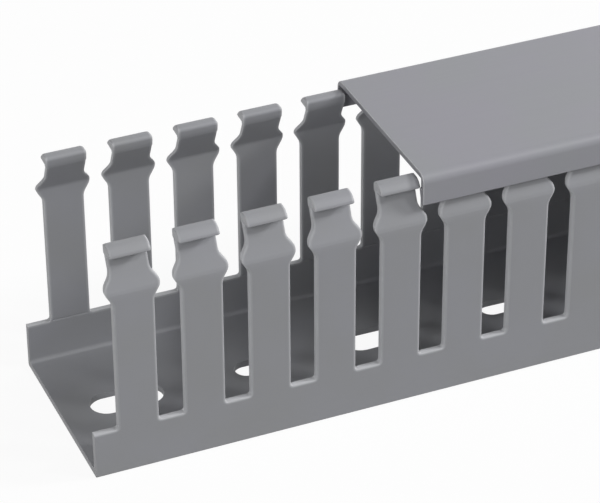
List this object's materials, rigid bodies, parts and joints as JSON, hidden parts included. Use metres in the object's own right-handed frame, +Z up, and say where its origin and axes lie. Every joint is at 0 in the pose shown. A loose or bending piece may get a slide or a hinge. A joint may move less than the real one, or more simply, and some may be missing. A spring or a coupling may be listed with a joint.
{
  "type": "slotted wire duct",
  "caption": "Slotted wiring duct: an open trough with hooked, shouldered fingers along both sides and slots in its base, under a flush push-fit cover slid part way along.",
  "frame": {"origin": "middle of the underside of the trough's base, at the middle of its length, on the axis of the middle long base slot", "axes": "+X along the duct, away from the open end where the fingers show; +Y across it; +Z up from the base to the cover"},
  "size_m": [1.0995, 0.06, 0.075],
  "materials": {
    "trough_pvc": "satin extruded rigid PVC",
    "cover_pvc": "satin extruded rigid PVC"
  },
  "bodies": {
    "trough": {"duct_body": "trough_pvc"},
    "lid": {"cover": "cover_pvc"}
  },
  "joints": [
    {"name": "cover_slide", "type": "slide", "parent": "trough", "child": "lid", "axis": [1, 0, 0], "range_m": [-0.0995, 0.9]}
  ]
}
